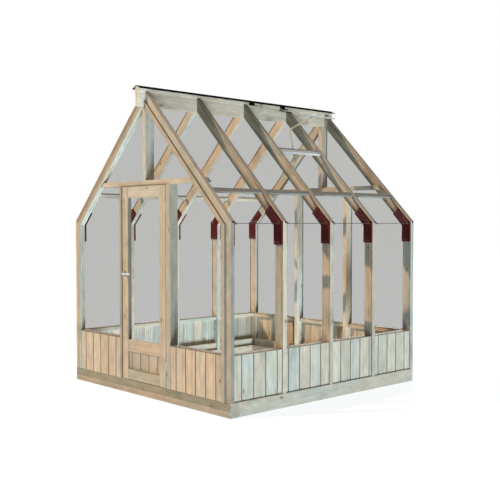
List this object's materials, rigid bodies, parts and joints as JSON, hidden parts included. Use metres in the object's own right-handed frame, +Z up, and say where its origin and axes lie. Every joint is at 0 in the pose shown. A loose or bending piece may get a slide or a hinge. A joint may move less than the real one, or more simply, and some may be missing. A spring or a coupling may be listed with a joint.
{
  "type": "greenhouse",
  "caption": "Timber-framed glass greenhouse with a steep pitched roof, boarded dwarf walls, a hinged glazed door with a lever handle, and a roof vent held open by two opener arms.",
  "frame": {"origin": "centre of the sill's underside, on the ground", "axes": "+Z up, +Y from the front gable with the door to the rear gable, +X to the right across the house seen from the front"},
  "size_m": [2.38, 2.619, 2.835],
  "materials": {
    "timber": "planed softwood, clear stain, fine grain and small knots",
    "sill_timber": "rougher weathered softwood",
    "stained_ply": "plywood with dark red-brown stain",
    "glass": "clear toughened sheet",
    "black_metal": "black powder coat",
    "aluminium": "mill-finish extrusion",
    "opener_metal": "satin bar and tube",
    "handle_metal": "satin anodised",
    "hinge_steel": "zinc-plated, slightly dulled"
  },
  "bodies": {
    "house": {"boards_front": "timber", "boards_left": "timber", "boards_rear": "timber", "boards_right": "timber", "door_jambs": "timber", "gable_battens": "timber", "gable_glass": "glass", "jamb_hinges": "hinge_steel", "king_posts": "timber", "knee_gussets": "stained_ply", "opener_foot": "opener_metal", "post_left_1": "timber", "post_left_2": "timber", "post_left_3": "timber", "post_left_4": "timber", "post_left_5": "timber", "post_right_1": "timber", "post_right_2": "timber", "post_right_3": "timber", "post_right_4": "timber", "post_right_5": "timber", "purlins": "timber", "rafter_left_1": "timber", "rafter_left_2": "timber", "rafter_left_3": "timber", "rafter_left_4": "timber", "rafter_left_5": "timber", "rafter_right_1": "timber", "rafter_right_2": "timber", "rafter_right_3": "timber", "rafter_right_4": "timber", "rafter_right_5": "timber", "rear_studs": "timber", "ridge_board": "timber", "ridge_cap": "black_metal", "roof_glass": "glass", "sill_front": "sill_timber", "sill_left": "sill_timber", "sill_rear": "sill_timber", "sill_right": "sill_timber", "strike_plate": "hinge_steel", "tie_beams": "timber", "vent_crossbar": "aluminium", "vent_hinge_lugs": "black_metal", "wall_glass": "glass", "wall_rails": "timber"},
    "door": {"door_stiles": "timber", "door_rails": "timber", "door_boards": "timber", "door_glass": "glass", "door_hinges": "hinge_steel", "handle_roses": "handle_metal"},
    "lever": {"door_levers": "handle_metal"},
    "latch": {"latch_bolt": "hinge_steel"},
    "vent": {"vent_glass": "glass", "vent_rail": "aluminium", "vent_hinge_leaves": "opener_metal", "opener_bracket": "opener_metal"},
    "lower_arm": {"opener_lower_arm": "opener_metal"},
    "upper_arm": {"opener_upper_arm": "opener_metal"}
  },
  "joints": [
    {"name": "door_swing", "type": "hinge", "parent": "house", "child": "door", "pos_m": [0.338, -1.2415, 1.031], "axis": [0, 0, 1], "range_deg": [0, 115]},
    {"name": "handle_turn", "type": "hinge", "parent": "door", "child": "lever", "pos_m": [-0.291, -1.2175, 1.12], "axis": [0, 1, 0], "range_deg": [0, 40], "stiffness_Nm_per_rad": 1.2, "springref_deg": -28.65},
    {"name": "latch_slide", "type": "slide", "parent": "door", "child": "latch", "axis": [1, 0, 0], "range_m": [0, 0.0025]},
    {"name": "vent_swing", "type": "hinge", "parent": "house", "child": "vent", "pos_m": [0.036, 0.301, 2.7975], "axis": [0, -1, 0], "range_deg": [-31.7, 0]},
    {"name": "opener_lower", "type": "hinge", "parent": "house", "child": "lower_arm", "pos_m": [0.4293, 0.301, 2.20844], "axis": [0, -1, 0], "range_deg": [0, 39]},
    {"name": "opener_upper", "type": "hinge", "parent": "vent", "child": "upper_arm", "pos_m": [0.6446, 0.301, 2.62259], "axis": [0, -1, 0], "range_deg": [-5, 0]}
  ],
  "couplings": [
    {"joint": "latch_slide", "follows": "handle_turn", "m_per_rad": 0.0034377},
    {"joint": "opener_lower", "follows": "vent_swing", "ratio": -1.1781},
    {"joint": "opener_upper", "follows": "vent_swing", "ratio": 0.10368}
  ]
}
